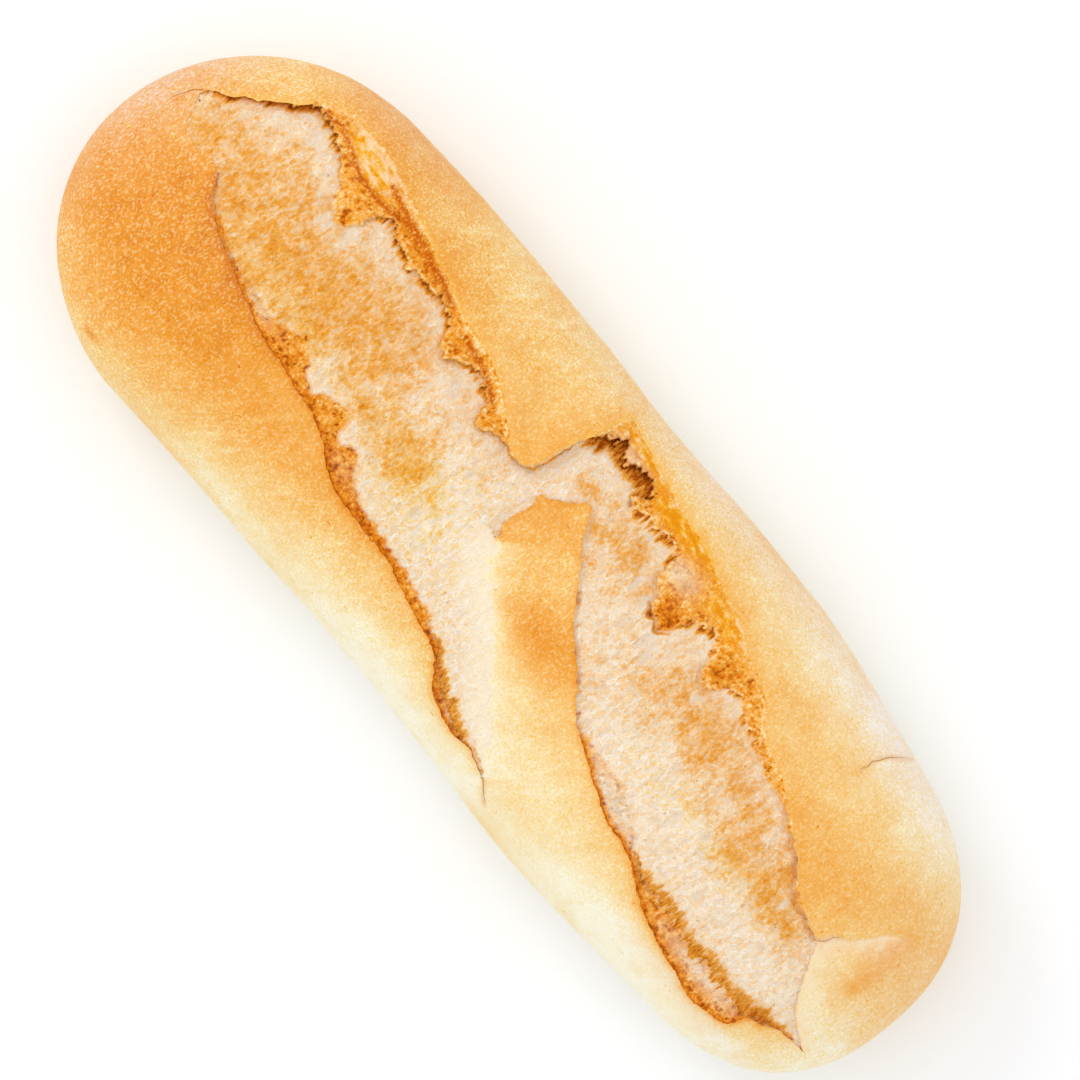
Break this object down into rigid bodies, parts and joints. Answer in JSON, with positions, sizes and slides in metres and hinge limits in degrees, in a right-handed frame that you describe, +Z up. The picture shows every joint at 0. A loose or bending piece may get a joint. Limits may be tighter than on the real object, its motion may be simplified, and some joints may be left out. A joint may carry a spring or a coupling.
{
  "type": "long white loaf",
  "caption": "Long white loaf with rounded ends and a flat base, slashed lengthwise so that its crust tore open over swollen crumb.",
  "frame": {"origin": "middle of the loaf's length and width, on the plane of its flat base", "axes": "+X along the loaf towards its slimmer end, +Y towards the side of the lifted crust lips, +Z up"},
  "size_m": [0.3, 0.102, 0.0696],
  "materials": {
    "crust": "matte, dry baked crust with fine pale blisters",
    "crumb": "matte, torn and toasted crumb"
  },
  "bodies": {
    "root": {"loaf": "crust"}
  },
  "joints": []
}
